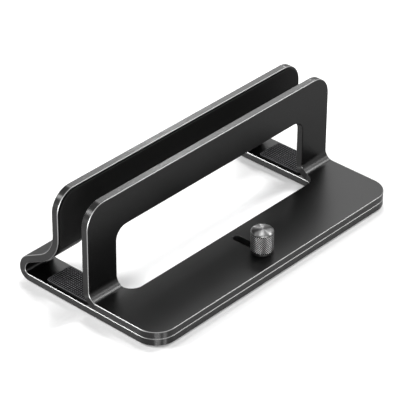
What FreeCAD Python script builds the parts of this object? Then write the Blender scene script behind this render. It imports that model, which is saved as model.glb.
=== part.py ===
import FreeCAD, Part
import math
import os

# Vertical laptop stand. A folded base frame stands on four soft feet: its plate runs back, rolls over in
# a round nose, rises forwards as a shelf and sweeps up into the rear wall. A second folded plate, the front
# bracket, lies on the base and bends up into the front wall. One large opening runs through each plate.
# The laptop stands on edge between the two walls. A thumb screw clamps the bracket through a slot, and with
# the screw loose the bracket slides forwards on two guide pins, for a thicker laptop.
# Millimetres. X runs along the length, +Y to the rear, +Z up. The origin is on the surface that the stand
# rests on, under the middle of its outline, with the bracket all the way back.

Vec = FreeCAD.Vector
X_AXIS = Vec(1, 0, 0)
Z_AXIS = Vec(0, 0, 1)

# Whole stand
LENGTH = 180.0
DEPTH = 94.0
HEIGHT = 60.0
PLATE = 4.0
EDGE_BREAK = 0.5

# Outline shared by both plates: width of the bars left round the opening, and the strip at the front
BAR = 20.0
FRONT_STRIP = 35.7
CORNER_R = 12.0
WINDOW_R = 7.0

# Folds of the base frame. Radii are the outside ones of the nose and the rear one of the sweep
NOSE_LOW_R = 6.0
NOSE_HIGH_R = 10.0
SHELF_RISE = 28.0
SWEEP_R = 17.0

# Front bracket: its wall's front face behind the front edge, inside radius of its bend, narrowest gap
WALL_SETBACK = 45.65
BEND_R = 5.0
GAP = 16.1
TRAVEL = 17.0

# Thumb screw
SCREW_SETBACK = 12.4
STUD_D = 4.0
STUD_GRIP = 7.0
STUD_SHORT_OF_BASE = 0.4
THREAD_PLAY = 0.05
SLOT_PLAY = 0.15
KNOB_D = 11.8
KNOB_H = 12.1
KNOB_RIM_H = 1.3
KNOB_RIM_IN = 1.0
KNOB_DOME = 0.3
KNOB_FOOT_BREAK = 0.3
WASHER_T = 1.0
WASHER_IN = 0.1

# Guide pins
PIN_D = 3.0
PIN_INSET = 24.0
PIN_FLOOR = 0.8
PIN_HEADROOM = 0.4
GROOVE_ROOF = 1.8

# Soft pieces
LINING = 0.8
LINING_INSET = 1.2
LINING_END = 28.0
LINING_R = 4.0
PAD_T = 1.2
PAD_INSET = 1.75
PAD_R = 1.5
PAD_UNDER_WALL = 1.15
PAD_LENGTH = 28.5
FOOT_T = 0.8
FOOT_LENGTH = 30.0
FOOT_WIDTH = 10.0
FOOT_R = 4.8
FOOT_INSET = 5.0

# Heights of the stacked plates
BASE_UNDER = FOOT_T
BASE_TOP = BASE_UNDER + PLATE
FLAT_TOP = BASE_TOP + PLATE
WALL_TOP = BASE_UNDER + HEIGHT

# Places along Y
FRONT_EDGE = -DEPTH / 2
NOSE_BACK = DEPTH / 2
OPENING_FRONT = FRONT_EDGE + FRONT_STRIP
BRACKET_WALL = FRONT_EDGE + WALL_SETBACK
REAR_WALL = BRACKET_WALL + PLATE + GAP
SCREW_Y = FRONT_EDGE + SCREW_SETBACK
OPENING_TOP = WALL_TOP - BAR

# How far cutting shapes run past the stand, and how near two places count as one
CLEAR = 50.0
SAME = 0.001


def heading_vector(angle):
    return Vec(0, math.cos(angle), math.sin(angle))


def left_of(angle):
    return Vec(0, -math.sin(angle), math.cos(angle))


def follow(start, heading, steps, offset):
    """Edges of a line that keeps its offset to the left of a folded middle line, and where that line ends.
    A step is a run's length, or a (radius, turn) bend of the middle line with left turns positive."""
    edges = []
    point = start
    for step in steps:
        side = left_of(heading)
        if isinstance(step, tuple):
            radius, turn = step
            reach = math.copysign(radius, turn)
            centre = point + side * reach
            arm = offset - reach
            middle = left_of(heading + turn / 2)
            end = left_of(heading + turn)
            edges.append(Part.Arc(centre + side * arm, centre + middle * arm, centre + end * arm).toShape())
            heading += turn
            point = centre - end * reach
        else:
            ahead = point + heading_vector(heading) * step
            edges.append(Part.makeLine(point + side * offset, ahead + side * offset))
            point = ahead
    return edges, point, heading


def folded(start, heading, steps, low, high, length):
    """Plate or sheet between two offsets from a folded middle line, extruded along X about the middle."""
    near, _, _ = follow(start, heading, steps, low)
    far, end, last = follow(start, heading, steps, high)
    caps = [Part.makeLine(start + left_of(heading) * low, start + left_of(heading) * high),
            Part.makeLine(end + left_of(last) * low, end + left_of(last) * high)]
    outline = Part.Wire(Part.__sortEdges__(near + far + caps))
    solid = Part.Face(outline).extrude(X_AXIS * length)
    solid.translate(X_AXIS * (-length / 2))
    return solid


def rounded_box(half_x, low, high, radius, corners):
    """Box from low to high in Y and Z, with the named corners rounded: 'front' ones or 'all' four about
    upright axes, 'top' or 'bottom' ones about axes along Y."""
    box = Part.makeBox(2 * half_x, high[0] - low[0], high[1] - low[1], Vec(-half_x, low[0], low[1]))
    middle = Vec(0, (low[0] + high[0]) / 2, (low[1] + high[1]) / 2)
    chosen = []
    for edge in box.Edges:
        along = edge.Vertexes[1].Point - edge.Vertexes[0].Point
        place = edge.CenterOfMass - middle
        upright = abs(along.z) > SAME
        lengthwise = abs(along.y) > SAME
        if upright and (corners == "all" or (corners == "front" and place.y < 0)):
            chosen.append(edge)
        if lengthwise and ((corners == "top" and place.z > 0) or (corners == "bottom" and place.z < 0)):
            chosen.append(edge)
    return box.makeFillet(radius, chosen)


def arch(half_x, front, top, radius):
    """Space from front rearwards and from top down, past the whole stand, with rounded corners in plan at
    its front and in elevation at its top. It trims the plates' outline and cuts their opening."""
    low = (front, BASE_UNDER - CLEAR)
    back = NOSE_BACK + CLEAR
    plan = rounded_box(half_x, low, (back, WALL_TOP + CLEAR), radius, "front")
    elevation = rounded_box(half_x, (front - CLEAR, low[1]), (back, top), radius, "top")
    return plan.common(elevation)


def is_rim(face):
    """A face that the outline or the opening has cut, so one as wide as the plate is thick."""
    surface = face.Surface
    if isinstance(surface, Part.Cylinder):
        return abs(surface.Axis.x) < 0.5
    box = face.BoundBox
    at_side = box.XLength < SAME
    at_end = box.YLength < SAME and min(abs(box.YMin - FRONT_EDGE), abs(box.YMin - OPENING_FRONT)) < SAME
    at_top = box.ZLength < SAME and min(abs(box.ZMin - WALL_TOP), abs(box.ZMin - OPENING_TOP)) < SAME
    return at_side or at_end or at_top


def break_edges(plate):
    """Chamfer every edge between a broad face and a rim."""
    rims = [face for face in plate.Faces if is_rim(face)]
    broad = [face for face in plate.Faces if not is_rim(face)]
    broad_edges = [edge for face in broad for edge in face.Edges]
    chosen = []
    for rim in rims:
        for edge in rim.Edges:
            if any(edge.isSame(other) for other in broad_edges):
                chosen.append(edge)
    return plate.makeChamfer(EDGE_BREAK, chosen)


def trimmed_plate(start, heading, steps):
    """Folded plate with its corners rounded, its opening cut and its edges broken."""
    plate = folded(start, heading, steps, -PLATE / 2, PLATE / 2, LENGTH)
    outline = arch(LENGTH / 2, FRONT_EDGE, WALL_TOP, CORNER_R)
    opening = arch(LENGTH / 2 - BAR, OPENING_FRONT, OPENING_TOP, WINDOW_R)
    return break_edges(plate.common(outline).cut(opening))


def trimmed_lining(sheet):
    """Lining sheet cut to the wall's outline and window with an even margin, and rounded at its lower ends."""
    inset = LINING_INSET
    lower_end = BASE_UNDER + LINING_END
    outline = arch(LENGTH / 2 - inset, FRONT_EDGE, WALL_TOP - inset, CORNER_R - inset)
    opening = arch(LENGTH / 2 - BAR + inset, FRONT_EDGE, OPENING_TOP + inset, WINDOW_R + inset)
    half_post = BAR / 2 - inset
    low, high = (FRONT_EDGE, lower_end), (NOSE_BACK, WALL_TOP + CLEAR)
    kept = Part.makeBox(LENGTH, DEPTH, CLEAR, Vec(-LENGTH / 2, FRONT_EDGE, OPENING_TOP - WINDOW_R))
    for sign in (-1, 1):
        post = rounded_box(half_post, low, high, min(LINING_R, 0.9 * half_post), "bottom")
        post.translate(X_AXIS * (sign * (LENGTH - BAR) / 2))
        kept = kept.fuse(post)
    return sheet.common(outline).common(kept).cut(opening)


def upright_cylinder(diameter, x, y, low, high):
    return Part.makeCylinder(diameter / 2, high - low, Vec(x, y, low))


def upright_slot(width, x, y_front, y_back, low, high):
    """Slot between two centres along Y, with round ends."""
    ends = [upright_cylinder(width, x, y, low, high) for y in (y_front, y_back)]
    middle = Part.makeBox(width, y_back - y_front, high - low, Vec(x - width / 2, y_front, low))
    return ends[0].fuse([middle, ends[1]]).removeSplitter()


def soft_block(x, y, low, width, length, thick, radius):
    """Flat pad with rounded corners, centred on x and y."""
    block = rounded_box(width / 2, (y - length / 2, low), (y + length / 2, low + thick), radius, "all")
    block.translate(X_AXIS * x)
    return block


# Base frame: middle line of its plate, from the front edge to the top of the rear wall
rise = math.radians(SHELF_RISE)
quarter = math.pi / 2
low_bend = (NOSE_LOW_R - PLATE / 2, quarter)
high_bend = (NOSE_HIGH_R - PLATE / 2, quarter - rise)
sweep = (SWEEP_R + PLATE / 2, rise - quarter)
floor_start = Vec(0, FRONT_EDGE, BASE_UNDER + PLATE / 2)
floor_run = DEPTH - NOSE_LOW_R
nose_steps = [floor_run, low_bend, high_bend]
_, nose_end, shelf_heading = follow(floor_start, 0.0, nose_steps, 0.0)
sweep_reach = sweep[0] * (1 - math.sin(rise))
shelf_run = (nose_end.y - (REAR_WALL + PLATE / 2) - sweep_reach) / math.cos(rise)
sweep_start = nose_end + heading_vector(shelf_heading) * shelf_run
sweep_top = sweep_start.z + sweep[0] * math.cos(rise)
wall_run = WALL_TOP - sweep_top
base_frame = trimmed_plate(floor_start, 0.0, nose_steps + [shelf_run, sweep, wall_run])

rear_sheet = folded(sweep_start, shelf_heading, [sweep, wall_run], PLATE / 2, PLATE / 2 + LINING, LENGTH)
rear_wall_lining = trimmed_lining(rear_sheet)

# Front bracket: flat on the base, one bend, wall
bend = (BEND_R + PLATE / 2, quarter)
flat_start = Vec(0, FRONT_EDGE, BASE_TOP + PLATE / 2)
flat_run = WALL_SETBACK - BEND_R
bracket_run = WALL_TOP - FLAT_TOP - BEND_R
front_bracket = trimmed_plate(flat_start, 0.0, [flat_run, bend, bracket_run])

lining_low = Vec(0, BRACKET_WALL + PLATE + LINING / 2, FLAT_TOP + BEND_R)
front_sheet = folded(lining_low, quarter, [bracket_run], -LINING / 2, LINING / 2, LENGTH)
front_wall_lining = trimmed_lining(front_sheet)

# Thumb screw: slot through the bracket, tapped hole in the base
slot_width = STUD_D + 2 * SLOT_PLAY
slot_front = SCREW_Y
slot_back = SCREW_Y + TRAVEL
front_bracket = front_bracket.cut(upright_slot(slot_width, 0, slot_front, slot_back, BASE_TOP, FLAT_TOP))
tapped_hole = upright_cylinder(STUD_D + 2 * THREAD_PLAY, 0, SCREW_Y, BASE_UNDER, BASE_TOP)
base_frame = base_frame.cut(tapped_hole)

knob_low = FLAT_TOP + WASHER_T
knob_top = knob_low + KNOB_H
knob_r = KNOB_D / 2
rim_r = knob_r - KNOB_RIM_IN
rim_low = knob_top - KNOB_RIM_H
dome_edge = knob_top - KNOB_DOME
rim_turn = KNOB_RIM_IN * (1 - math.sqrt(0.5))
rim_drop = (dome_edge - rim_low) * (1 - math.sqrt(0.5))
rim_middle = Vec(knob_r - rim_turn, 0, dome_edge - rim_drop)
dome_r = (rim_r ** 2 + KNOB_DOME ** 2) / (2 * KNOB_DOME)
half_dome = math.asin(rim_r / dome_r) / 2
dome_middle = Vec(dome_r * math.sin(half_dome), 0, knob_top - dome_r * (1 - math.cos(half_dome)))
knob_outline = [
    Part.makeLine(Vec(0, 0, knob_low), Vec(knob_r - KNOB_FOOT_BREAK, 0, knob_low)),
    Part.makeLine(Vec(knob_r - KNOB_FOOT_BREAK, 0, knob_low), Vec(knob_r, 0, knob_low + KNOB_FOOT_BREAK)),
    Part.makeLine(Vec(knob_r, 0, knob_low + KNOB_FOOT_BREAK), Vec(knob_r, 0, rim_low)),
    Part.Arc(Vec(knob_r, 0, rim_low), rim_middle, Vec(rim_r, 0, dome_edge)).toShape(),
    Part.Arc(Vec(rim_r, 0, dome_edge), dome_middle, Vec(0, 0, knob_top)).toShape(),
    Part.makeLine(Vec(0, 0, knob_top), Vec(0, 0, knob_low)),
]
thumb_knob = Part.Face(Part.Wire(knob_outline)).revolve(Vec(0, 0, 0), Z_AXIS, 360)
thumb_knob.translate(Vec(0, SCREW_Y, 0))
stud_top = knob_low + STUD_GRIP
thumb_knob = thumb_knob.cut(upright_cylinder(STUD_D, 0, SCREW_Y, knob_low, stud_top))
clamp_stud = upright_cylinder(STUD_D, 0, SCREW_Y, BASE_UNDER + STUD_SHORT_OF_BASE, stud_top)
washer_bore = upright_cylinder(STUD_D + 2 * SLOT_PLAY, 0, SCREW_Y, FLAT_TOP, knob_low)
knob_washer = upright_cylinder(KNOB_D - 2 * WASHER_IN, 0, SCREW_Y, FLAT_TOP, knob_low).cut(washer_bore)

# Guide pins, level with the screw, in blind holes of the base and blind grooves under the bracket
groove_top = FLAT_TOP - GROOVE_ROOF
guide_pins = {}
for side, sign in (("left", -1), ("right", 1)):
    pin_x = sign * (LENGTH / 2 - PIN_INSET)
    pin = upright_cylinder(PIN_D, pin_x, SCREW_Y, BASE_UNDER + PIN_FLOOR, groove_top - PIN_HEADROOM)
    groove_width = PIN_D + 2 * SLOT_PLAY
    groove = upright_slot(groove_width, pin_x, SCREW_Y, SCREW_Y + TRAVEL, BASE_TOP, groove_top)
    base_frame = base_frame.cut(pin)
    front_bracket = front_bracket.cut(groove)
    guide_pins[side + "_guide_pin"] = pin

# Ribbed rest pads on the two side bars of the base, between the walls
pad_width = BAR - 2 * PAD_INSET
pad_y = BRACKET_WALL + PLATE - PAD_UNDER_WALL + PAD_LENGTH / 2
rest_pads = {}
for side, sign in (("left", -1), ("right", 1)):
    pad_x = sign * (LENGTH - BAR) / 2
    rest_pads[side + "_rest_pad"] = soft_block(pad_x, pad_y, BASE_TOP, pad_width, PAD_LENGTH, PAD_T, PAD_R)

# Feet: the front pair lies along the front strip, the rear pair along the side bars
foot_r = min(FOOT_R, 0.48 * FOOT_WIDTH)
feet = {}
for side, sign in (("left", -1), ("right", 1)):
    front_x = sign * (LENGTH / 2 - FOOT_INSET - FOOT_LENGTH / 2 - CORNER_R / 2)
    front_y = FRONT_EDGE + FOOT_INSET + FOOT_WIDTH / 2
    feet["foot_front_" + side] = soft_block(front_x, front_y, 0, FOOT_LENGTH, FOOT_WIDTH, FOOT_T, foot_r)
    rear_x = sign * (LENGTH - BAR) / 2
    rear_y = NOSE_BACK - NOSE_LOW_R - FOOT_INSET - FOOT_LENGTH / 2
    feet["foot_rear_" + side] = soft_block(rear_x, rear_y, 0, FOOT_WIDTH, FOOT_LENGTH, FOOT_T, foot_r)

nodes = {
    "base_frame": base_frame,
    "front_bracket": front_bracket,
    "rear_wall_lining": rear_wall_lining,
    "front_wall_lining": front_wall_lining,
    "thumb_knob": thumb_knob,
    "clamp_stud": clamp_stud,
    "knob_washer": knob_washer,
    **guide_pins,
    **rest_pads,
    **feet,
}

os.makedirs("parts", exist_ok=True)
for name, shape in nodes.items():
    shape.exportStep("parts/" + name + ".step")
    box = shape.BoundBox
    print(name, "solids", len(shape.Solids), "valid", shape.isValid(), "volume %.1f" % shape.Volume,
          "x %.2f %.2f y %.2f %.2f z %.2f %.2f" % (box.XMin, box.XMax, box.YMin, box.YMax, box.ZMin, box.ZMax))
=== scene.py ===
"""Visual pieces and studio of a vertical laptop stand, built round its packed CAD frame.

The two folded plates and the wall linings start as flat blanks, and Geometry Nodes roll them round
their bends. Lengths are in metres: X along the stand, -Y to the front, +Z up.
"""

import math

import bmesh
import bpy
from bpy.props import FloatProperty, FloatVectorProperty, IntProperty, PointerProperty
from mathutils import Matrix, Vector
from mathutils.geometry import delaunay_2d_cdt


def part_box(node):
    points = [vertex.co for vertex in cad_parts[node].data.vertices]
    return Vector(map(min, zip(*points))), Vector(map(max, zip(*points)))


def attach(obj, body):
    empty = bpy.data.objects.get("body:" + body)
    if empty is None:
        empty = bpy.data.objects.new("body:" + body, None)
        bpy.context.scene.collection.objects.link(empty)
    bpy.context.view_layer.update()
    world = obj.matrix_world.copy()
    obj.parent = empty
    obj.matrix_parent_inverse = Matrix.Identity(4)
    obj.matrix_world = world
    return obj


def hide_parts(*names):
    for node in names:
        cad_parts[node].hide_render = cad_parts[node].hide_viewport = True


bl_info = {
    "name": "Vertical Laptop Stand",
    "version": (1, 0, 0),
    "blender": (4, 5, 0),
    "location": "3D Viewport > Sidebar > Stand",
    "description": "Builds a folded plate laptop stand and its studio round a packed CAD frame",
    "category": "Add Mesh",
}

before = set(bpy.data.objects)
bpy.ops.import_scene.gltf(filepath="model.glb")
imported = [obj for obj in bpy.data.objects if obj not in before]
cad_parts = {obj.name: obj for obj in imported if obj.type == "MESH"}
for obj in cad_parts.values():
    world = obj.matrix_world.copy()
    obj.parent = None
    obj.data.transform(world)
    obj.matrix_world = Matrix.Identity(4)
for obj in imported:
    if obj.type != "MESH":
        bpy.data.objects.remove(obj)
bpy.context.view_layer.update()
BASE_LOW, BASE_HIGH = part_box("base_frame")
BRACKET_LOW, BRACKET_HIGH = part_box("front_bracket")
LINING_LOW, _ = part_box("rear_wall_lining")
KNOB_LOW, KNOB_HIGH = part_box("thumb_knob")
STUD_LOW, STUD_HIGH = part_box("clamp_stud")
WASHER_LOW, WASHER_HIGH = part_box("knob_washer")
PIN_LOW, PIN_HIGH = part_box("right_guide_pin")
PAD_LOW, PAD_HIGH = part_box("right_rest_pad")
FOOT_BOXES = {"front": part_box("foot_front_right"), "rear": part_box("foot_rear_right")}

MM = 0.001
TINY = 1e-9
SAME_PLACE = 1e-6
QUARTER = math.pi / 2
FRONT_EDGE = BASE_LOW.y
HALF_LENGTH = BASE_HIGH.x
SCREW_Y = (KNOB_LOW.y + KNOB_HIGH.y) / 2
KNOB_RADIUS = (KNOB_HIGH.x - KNOB_LOW.x) / 2
STUD_RADIUS = (STUD_HIGH.x - STUD_LOW.x) / 2
PIN_RADIUS = (PIN_HIGH.x - PIN_LOW.x) / 2
PIN_X = (PIN_HIGH.x + PIN_LOW.x) / 2
SIDES = (("left", -1), ("right", 1))

# Face numbers that the trees turn into finishes
BROAD, RIM, CHAMFER = 0, 1, 2
TURNED, KNURLED = 0, 1

# Fineness of the meshes
SHARP = math.radians(30)
BEND_STEP = math.radians(8)
CORNER_STEPS_LEAST = 6
CORNER_STEPS = 3.2  # for one radian at a radius of 1 mm; they grow with the radius's root
KNOB_STEPS, STUD_STEPS, WASHER_STEPS, THREAD_STEPS = 96, 32, 72, 20
ROUNDING_STEPS = 8

# Width of a knurl tooth's flat tip, as a share of its foot
FLAT_TIP = 0.3

# Kind of output of Blender's flat triangulation: the triangles inside the outermost sides
INSIDE_SIDES = 1


def linear(code):
    """Linear colour of an sRGB hex code."""
    parts = [int(code[i:i + 2], 16) / 255 for i in (1, 3, 5)]
    return [p / 12.92 if p <= 0.04045 else ((p + 0.055) / 1.055) ** 2.4 for p in parts]


def size(description, millimetres):
    """A length, with its default taken in millimetres."""
    return FloatProperty(description=description, default=millimetres * MM, min=0.0, precision=5,
                         subtype="DISTANCE", unit="LENGTH")


def turn(description, degrees):
    """An angle, with its default taken in degrees."""
    return FloatProperty(description=description, default=math.radians(degrees), subtype="ANGLE",
                         unit="ROTATION")


def tint(description, code):
    """A colour, with its default taken as an sRGB hex code."""
    return FloatVectorProperty(description=description, default=linear(code), size=3, min=0.0,
                               max=1.0, subtype="COLOR")


class StandPlateSizes(bpy.types.PropertyGroup):
    """Sizes of the two folded plates and their linings."""

    plate: size("Thickness of both plates", (BRACKET_LOW.z - BASE_LOW.z) / MM)
    edge_break: size("Width of the chamfers, square to each face", 0.28)
    bar: size("Width of the bars left round the openings", 20)
    front_strip: size("From the front edge to the openings", 35.7)
    corner_radius: size("Rounding of the plates' outer corners", 12)
    opening_radius: size("Rounding of the openings' corners", 7)
    nose_low_radius: size("Outside radius of the nose's lower bend", 6)
    nose_high_radius: size("Outside radius of the nose's upper bend", 10)
    shelf_rise: turn("Slope of the shelf between the nose and the rear wall", 28)
    sweep_radius: size("Rear radius of the bend from the shelf to the rear wall", 17)
    wall_setback: size("From the front edge to the bracket wall's front face", 45.65)
    bend_radius: size("Inside radius of the bracket's bend", 5)
    gap: size("Between the two walls, for the laptop", 16.1)
    screw_play: size("Radial play of the stud in the slot", 0.15)
    thread_play: size("Radial play of the stud in the base's thread", 0.05)
    travel: size("How far the slot lets the bracket slide", 17)
    groove_roof: size("Metal left above the guide grooves", 1.8)
    slot_break: size("Chamfer round the slot and the holes", 0.2)
    lining: size("Thickness of the wall linings", 0.8)
    lining_inset: size("Margin of wall left round the linings", 1.2)
    lining_radius: size("Rounding of the linings' lower ends", 4)
    lining_edge: size("Softening of the linings' free edge", 0.25)


class StandScrewSizes(bpy.types.PropertyGroup):
    """Sizes of the thumb screw."""

    rim_height: size("Plain band above the knurl", 1.3)
    rim_inset: size("How far the band rounds in to the top face", 1.6)
    dome: size("Rise of the top face", 0.3)
    foot_break: size("Chamfer under the knurl", 0.15)
    neck_height: size("From the knurl's end to the plain band", 0.2)
    knurl_depth: size("Height of the knurl's teeth", 0.17)
    knurl_sink: size("How deep the teeth are set in the knob's core", 0.02)
    knurl_pitch: size("Height of one diamond", 1.3)
    knurl_around: IntProperty(description="Diamonds round the knob", default=34, min=8, max=120)
    thread_pitch: size("Rise of the stud's thread in one turn", 0.7)
    thread_depth: size("Depth of the stud's thread", 0.36)
    washer_edge: size("Rounding of the washer's edges", 0.2)


class StandPadSizes(bpy.types.PropertyGroup):
    """Sizes of the ribbed rest pads and the feet."""

    corner_radius: size("Rounding of the rest pads' corners", 1.5)
    rib_pitch: size("From one stud of the pads to the next", 1.35)
    rib_height: size("Height of the pads' studs", 0.35)
    rib_foot: size("Width of a stud where it stands on the pad", 0.9)
    rib_top: size("Width of a stud's flat top", 0.7)
    lip: size("Width of the flat lip round the pads' studs", 0.35)
    edge: size("Softening of the pads' and feet's edges", 0.2)
    foot_corner: size("Rounding of the feet's ends", 4.8)


class StandColours(bpy.types.PropertyGroup):
    """Colours of the finishes."""

    plate: tint("Blasted faces of both plates", "#333333")
    rim: tint("Milled edges of both plates", "#363636")
    chamfer: tint("Cut edges that show brighter metal", "#838383")
    knob: tint("Turned top of the thumb screw", "#656565")
    knurl: tint("Tips of the thumb screw's knurl", "#878787")
    washer: tint("Moulded washer under the knob", "#060606")
    stud: tint("Rolled thread of the thumb screw", "#9d9fa1")
    pin: tint("Ground pins under the bracket", "#b2b4b6")
    lining: tint("Soft sheets on the walls", "#050505")
    pad: tint("Tops of the studs that the laptop stands on", "#4b4b4d")
    foot: tint("Soft feet under the base", "#18181a")
    floor: tint("Pale floor under the stand", "#e4e4e4")


class StandStudio(bpy.types.PropertyGroup):
    """Camera, lamps and background."""

    azimuth: turn("Camera's direction round the stand", -47.891)
    elevation: turn("Camera's height above the horizon", 32.976)
    roll: turn("Camera's tilt about its own view", 0.336)
    distance: size("From the camera to the point it looks at", 1186.6)
    aim: FloatVectorProperty(description="Point that the camera looks at", subtype="TRANSLATION",
                             default=(-6.038 * MM, 2.04 * MM, 25.8 * MM), unit="LENGTH")
    lens: FloatProperty(description="Focal length", default=211.46, subtype="DISTANCE_CAMERA")
    sensor: FloatProperty(description="Width of the film", default=36.0, subtype="DISTANCE_CAMERA")
    world: FloatProperty(description="Strength of the light from all round", default=0.08, min=0.0)
    floor_glow: FloatProperty(description="White that the camera adds to the floor", default=0.12,
                              min=0.0)


# Nodes and trees

def add(tree, kind, inputs=None, out=None, **settings):
    """Add a node with its settings, link or set its inputs, and give back one of its outputs."""
    made = tree.nodes.new(kind)
    for key, value in settings.items():
        setattr(made, key, value)
    for key, value in (inputs or {}).items():
        if isinstance(key, int):
            socket = made.inputs[key]
        else:
            socket = next(s for s in made.inputs if s.enabled and s.name == key)
        if isinstance(value, bpy.types.NodeSocket):
            tree.links.new(value, socket)
        else:
            socket.default_value = value
    return next(s for s in made.outputs if s.enabled and out in (None, s.name))


def reckon(tree, operation, *values):
    """One step of arithmetic."""
    return add(tree, "ShaderNodeMath", dict(enumerate(values)), operation=operation)


def vector(tree, **parts):
    """Vector from its X, Y and Z, each 0 if left out."""
    return add(tree, "ShaderNodeCombineXYZ", parts)


def new_tree(name, labels):
    """Geometry tree with its labels as inputs, by their kind, and its input node's outputs."""
    tree = bpy.data.node_groups.new(name, "GeometryNodeTree")
    tree.interface.new_socket("Geometry", in_out="INPUT", socket_type="NodeSocketGeometry")
    tree.interface.new_socket("Geometry", in_out="OUTPUT", socket_type="NodeSocketGeometry")
    for kind, words in labels.items():
        for word in words:
            tree.interface.new_socket(word, in_out="INPUT", socket_type="NodeSocket" + kind)
    return tree, tree.nodes.new("NodeGroupInput").outputs


def give_back(tree, geometry):
    """Link the finished geometry to the tree's output."""
    tree.links.new(geometry, tree.nodes.new("NodeGroupOutput").inputs[0])


def finish_and_give_back(tree, geometry, finishes):
    """Realise what is left of the instances and give each face the finish of its number."""
    geometry = add(tree, "GeometryNodeRealizeInstances", {"Geometry": geometry})
    number = add(tree, "GeometryNodeInputNamedAttribute", {"Name": "finish"}, data_type="INT")
    for value, finish in enumerate(finishes):
        match = add(tree, "FunctionNodeCompare", {"A": number, "B": value}, data_type="INT",
                    operation="EQUAL")
        geometry = add(tree, "GeometryNodeSetMaterial",
                       {"Geometry": geometry, "Selection": match, "Material": finish})
    give_back(tree, geometry)


def join_and_give_back(tree, given, made, finishes):
    """Join what a tree made to the piece that it was given, and finish both."""
    both = tree.nodes.new("GeometryNodeJoinGeometry")
    tree.links.new(made, both.inputs[0])
    tree.links.new(given["Geometry"], both.inputs[0])
    finish_and_give_back(tree, both.outputs[0], [given[name] for name in finishes])


def run_tree(piece, tree, values):
    """Put a tree on a piece, with its named inputs set by their identifiers."""
    modifier = piece.modifiers.new(tree.name, "NODES")
    modifier.node_group = tree
    for socket in tree.interface.items_tree:
        if socket.in_out == "INPUT" and socket.name in values:
            modifier[socket.identifier] = values[socket.name]


BEND_WORDS = ("start", "radius", "turn")
PLATE_FINISHES = ("Broad faces", "Rims", "Chamfers")


def fold_once():
    """Tree that rolls what lies past a place along Y round one bend about an axis along X."""
    tree, given = new_tree("fold_once", {"Float": ("Start", "Radius", "Turn", "Middle height")})
    flat_y = add(tree, "GeometryNodeInputNamedAttribute", {"Name": "flat_y"}, data_type="FLOAT")
    past = reckon(tree, "DIVIDE", reckon(tree, "SUBTRACT", flat_y, given["Start"]), given["Radius"])
    full = reckon(tree, "ABSOLUTE", given["Turn"])
    rolled = reckon(tree, "MINIMUM", reckon(tree, "MAXIMUM", past, 0.0), full)
    way = reckon(tree, "SIGN", given["Turn"])
    back = vector(tree, Y=reckon(tree, "MULTIPLY", rolled, given["Radius"]))
    moved = add(tree, "ShaderNodeVectorMath", {0: add(tree, "GeometryNodeInputPosition"), 1: back},
                operation="SUBTRACT")
    rise = reckon(tree, "MULTIPLY_ADD", given["Radius"], way, given["Middle height"])
    place = add(tree, "ShaderNodeVectorRotate",
                {"Vector": moved, "Center": vector(tree, Y=given["Start"], Z=rise),
                 "Angle": reckon(tree, "MULTIPLY", rolled, way)}, rotation_type="X_AXIS")
    give_back(tree, add(tree, "GeometryNodeSetPosition",
                        {"Geometry": given["Geometry"], "Position": place}))
    return tree


def folding_tree(name, bends):
    """Tree that folds a flat blank at each named bend, the last one first, and sets the finishes."""
    bend_tree = bpy.data.node_groups.get("fold_once") or fold_once()
    numbers = [f"{bend} {word}" for bend in bends for word in BEND_WORDS]
    tree, given = new_tree(name, {"Float": ["Middle height", *numbers], "Material": PLATE_FINISHES})
    geometry = given["Geometry"]
    for bend in reversed(bends):
        inputs = {word.title(): given[f"{bend} {word}"] for word in BEND_WORDS}
        geometry = add(tree, "GeometryNodeGroup",
                       {"Geometry": geometry, "Middle height": given["Middle height"], **inputs},
                       node_tree=bend_tree)
    finish_and_give_back(tree, geometry, [given[word] for word in PLATE_FINISHES])
    return tree


def tooth_tree(name, labels, points_of, tooth_of):
    """Tree that stands one small tooth at each point and joins the teeth to the piece."""
    tree, given = new_tree(name, labels)
    last_finish = len(labels["Material"]) - 1
    points, rotation = points_of(tree, given)
    teeth = add(tree, "GeometryNodeInstanceOnPoints",
                {"Points": points, "Instance": tooth_of(tree, given), "Rotation": rotation})
    teeth = add(tree, "GeometryNodeRealizeInstances", {"Geometry": teeth})
    teeth = add(tree, "GeometryNodeStoreNamedAttribute",
                {"Geometry": teeth, "Name": "finish", "Value": last_finish}, data_type="INT",
                domain="FACE")
    join_and_give_back(tree, given, teeth, labels["Material"])
    return tree


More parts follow.
